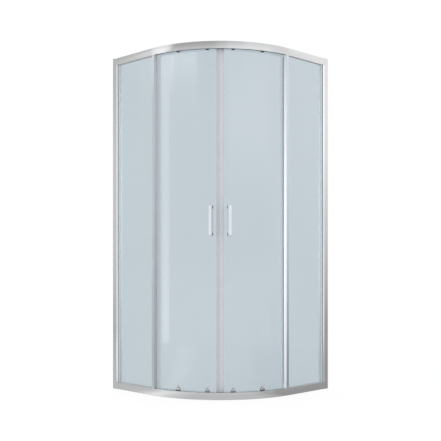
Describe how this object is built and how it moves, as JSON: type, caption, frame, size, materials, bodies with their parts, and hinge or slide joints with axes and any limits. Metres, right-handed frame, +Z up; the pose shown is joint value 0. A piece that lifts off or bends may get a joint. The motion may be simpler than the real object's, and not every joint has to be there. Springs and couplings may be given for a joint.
{
  "type": "corner shower cabin",
  "caption": "Quarter-round corner shower enclosure with flat fixed glass panels, curved satin glass sliding doors on rollers, magnetic seam, bar handles and a bright metal frame.",
  "frame": {"origin": "centre of the footprint square on the floor", "axes": "+Z up; the room corner is at -X +Y and the doors face the diagonal +X -Y"},
  "size_m": [0.9, 0.9, 1.95],
  "materials": {
    "frame_metal": "polished bright anodised",
    "door_glass": "satin tempered, glossy outer face",
    "panel_glass": "satin tempered, glossy outer face",
    "gasket": "soft matte",
    "pile": "short woven pile",
    "clear_seal": "translucent",
    "magnet": "matte",
    "chrome": "polished",
    "roller": "satin",
    "wheel": "satin",
    "steel": "turned",
    "stop": "matte",
    "cover": "glossy"
  },
  "bodies": {
    "frame": {"top_rail": "frame_metal", "bottom_rail": "frame_metal", "corner_screws": "steel", "post_screws": "steel", "post_screw_covers": "cover", "door_stops": "stop", "wall_channel_left": "frame_metal", "wall_post_left": "frame_metal", "fixed_glass_left": "panel_glass", "glazing_gasket_left": "gasket", "strike_post_left": "frame_metal", "strike_seal_left": "pile", "wall_channel_right": "frame_metal", "wall_post_right": "frame_metal", "fixed_glass_right": "panel_glass", "glazing_gasket_right": "gasket", "strike_post_right": "frame_metal", "strike_seal_right": "pile"},
    "door_left": {"door_glass_left": "door_glass", "magnetic_seal_left": "clear_seal", "magnet_strip_left": "magnet", "door_edge_seal_left": "clear_seal", "handle_left": "chrome", "handle_bolts_left": "chrome", "roller_axles_left": "steel", "roller_bolts_left": "steel", "roller_caps_left": "chrome", "top_roller_body_left_inner": "roller", "bottom_roller_housing_left_inner": "chrome", "top_roller_body_left_outer": "roller", "bottom_roller_housing_left_outer": "chrome"},
    "top_wheel_left_inner_a": {"top_wheel_left_inner_a": "wheel"},
    "top_wheel_left_inner_b": {"top_wheel_left_inner_b": "wheel"},
    "release_slider_left_inner": {"release_slider_left_inner": "roller"},
    "bottom_wheel_left_inner": {"bottom_wheel_left_inner": "wheel"},
    "top_wheel_left_outer_a": {"top_wheel_left_outer_a": "wheel"},
    "top_wheel_left_outer_b": {"top_wheel_left_outer_b": "wheel"},
    "release_slider_left_outer": {"release_slider_left_outer": "roller"},
    "bottom_wheel_left_outer": {"bottom_wheel_left_outer": "wheel"},
    "door_right": {"door_glass_right": "door_glass", "magnetic_seal_right": "clear_seal", "magnet_strip_right": "magnet", "door_edge_seal_right": "clear_seal", "handle_right": "chrome", "handle_bolts_right": "chrome", "roller_axles_right": "steel", "roller_bolts_right": "steel", "roller_caps_right": "chrome", "top_roller_body_right_inner": "roller", "bottom_roller_housing_right_inner": "chrome", "top_roller_body_right_outer": "roller", "bottom_roller_housing_right_outer": "chrome"},
    "top_wheel_right_inner_a": {"top_wheel_right_inner_a": "wheel"},
    "top_wheel_right_inner_b": {"top_wheel_right_inner_b": "wheel"},
    "release_slider_right_inner": {"release_slider_right_inner": "roller"},
    "bottom_wheel_right_inner": {"bottom_wheel_right_inner": "wheel"},
    "top_wheel_right_outer_a": {"top_wheel_right_outer_a": "wheel"},
    "top_wheel_right_outer_b": {"top_wheel_right_outer_b": "wheel"},
    "release_slider_right_outer": {"release_slider_right_outer": "roller"},
    "bottom_wheel_right_outer": {"bottom_wheel_right_outer": "wheel"}
  },
  "joints": [
    {"name": "door_left_glide", "type": "hinge", "parent": "frame", "child": "door_left", "pos_m": [-0.1023, 0.1023, 0], "axis": [0, 0, -1], "range_deg": [0, 25.5]},
    {"name": "top_wheel_left_inner_a_turn", "type": "hinge", "parent": "door_left", "child": "top_wheel_left_inner_a", "pos_m": [0.23477, -0.31914, 1.9343], "axis": [0.6056, -0.7958, 0], "range_deg": [0, 1389]},
    {"name": "top_wheel_left_inner_b_turn", "type": "hinge", "parent": "door_left", "child": "top_wheel_left_inner_b", "pos_m": [0.21408, -0.33489, 1.9343], "axis": [0.6056, -0.7958, 0], "range_deg": [0, 1389]},
    {"name": "release_slider_left_inner_press", "type": "slide", "parent": "door_left", "child": "release_slider_left_inner", "axis": [0, 0, -1], "range_m": [0, 0.003], "stiffness_N_per_m": 800, "springref_m": -0.004},
    {"name": "bottom_wheel_left_inner_turn", "type": "hinge", "parent": "release_slider_left_inner", "child": "bottom_wheel_left_inner", "pos_m": [0.22442, -0.32702, 0.0157], "axis": [0.6056, -0.7958, 0], "range_deg": [-1389, 0]},
    {"name": "top_wheel_left_outer_a_turn", "type": "hinge", "parent": "door_left", "child": "top_wheel_left_outer_a", "pos_m": [0.08126, -0.40518, 1.9343], "axis": [0.3174, -0.9483, 0], "range_deg": [0, 1389]},
    {"name": "top_wheel_left_outer_b_turn", "type": "hinge", "parent": "door_left", "child": "top_wheel_left_outer_b", "pos_m": [0.0566, -0.41343, 1.9343], "axis": [0.3174, -0.9483, 0], "range_deg": [0, 1389]},
    {"name": "release_slider_left_outer_press", "type": "slide", "parent": "door_left", "child": "release_slider_left_outer", "axis": [0, 0, -1], "range_m": [0, 0.003], "stiffness_N_per_m": 800, "springref_m": -0.004},
    {"name": "bottom_wheel_left_outer_turn", "type": "hinge", "parent": "release_slider_left_outer", "child": "bottom_wheel_left_outer", "pos_m": [0.06893, -0.40931, 0.0157], "axis": [0.3174, -0.9483, 0], "range_deg": [-1389, 0]},
    {"name": "door_right_glide", "type": "hinge", "parent": "frame", "child": "door_right", "pos_m": [-0.1023, 0.1023, 0], "axis": [0, 0, 1], "range_deg": [0, 25.5]},
    {"name": "top_wheel_right_inner_a_turn", "type": "hinge", "parent": "door_right", "child": "top_wheel_right_inner_a", "pos_m": [0.31914, -0.23477, 1.9343], "axis": [0.7958, -0.6056, 0], "range_deg": [-1389, 0]},
    {"name": "top_wheel_right_inner_b_turn", "type": "hinge", "parent": "door_right", "child": "top_wheel_right_inner_b", "pos_m": [0.33489, -0.21408, 1.9343], "axis": [0.7958, -0.6056, 0], "range_deg": [-1389, 0]},
    {"name": "release_slider_right_inner_press", "type": "slide", "parent": "door_right", "child": "release_slider_right_inner", "axis": [0, 0, -1], "range_m": [0, 0.003], "stiffness_N_per_m": 800, "springref_m": -0.004},
    {"name": "bottom_wheel_right_inner_turn", "type": "hinge", "parent": "release_slider_right_inner", "child": "bottom_wheel_right_inner", "pos_m": [0.32702, -0.22442, 0.0157], "axis": [0.7958, -0.6056, 0], "range_deg": [0, 1389]},
    {"name": "top_wheel_right_outer_a_turn", "type": "hinge", "parent": "door_right", "child": "top_wheel_right_outer_a", "pos_m": [0.40518, -0.08126, 1.9343], "axis": [0.9483, -0.3174, 0], "range_deg": [-1389, 0]},
    {"name": "top_wheel_right_outer_b_turn", "type": "hinge", "parent": "door_right", "child": "top_wheel_right_outer_b", "pos_m": [0.41343, -0.0566, 1.9343], "axis": [0.9483, -0.3174, 0], "range_deg": [-1389, 0]},
    {"name": "release_slider_right_outer_press", "type": "slide", "parent": "door_right", "child": "release_slider_right_outer", "axis": [0, 0, -1], "range_m": [0, 0.003], "stiffness_N_per_m": 800, "springref_m": -0.004},
    {"name": "bottom_wheel_right_outer_turn", "type": "hinge", "parent": "release_slider_right_outer", "child": "bottom_wheel_right_outer", "pos_m": [0.40931, -0.06893, 0.0157], "axis": [0.9483, -0.3174, 0], "range_deg": [0, 1389]}
  ],
  "couplings": [
    {"joint": "top_wheel_left_inner_a_turn", "follows": "door_left_glide", "ratio": 53.95},
    {"joint": "top_wheel_left_inner_b_turn", "follows": "door_left_glide", "ratio": 53.95},
    {"joint": "bottom_wheel_left_inner_turn", "follows": "door_left_glide", "ratio": -53.95},
    {"joint": "top_wheel_left_outer_a_turn", "follows": "door_left_glide", "ratio": 53.95},
    {"joint": "top_wheel_left_outer_b_turn", "follows": "door_left_glide", "ratio": 53.95},
    {"joint": "bottom_wheel_left_outer_turn", "follows": "door_left_glide", "ratio": -53.95},
    {"joint": "top_wheel_right_inner_a_turn", "follows": "door_right_glide", "ratio": -53.95},
    {"joint": "top_wheel_right_inner_b_turn", "follows": "door_right_glide", "ratio": -53.95},
    {"joint": "bottom_wheel_right_inner_turn", "follows": "door_right_glide", "ratio": 53.95},
    {"joint": "top_wheel_right_outer_a_turn", "follows": "door_right_glide", "ratio": -53.95},
    {"joint": "top_wheel_right_outer_b_turn", "follows": "door_right_glide", "ratio": -53.95},
    {"joint": "bottom_wheel_right_outer_turn", "follows": "door_right_glide", "ratio": 53.95}
  ]
}
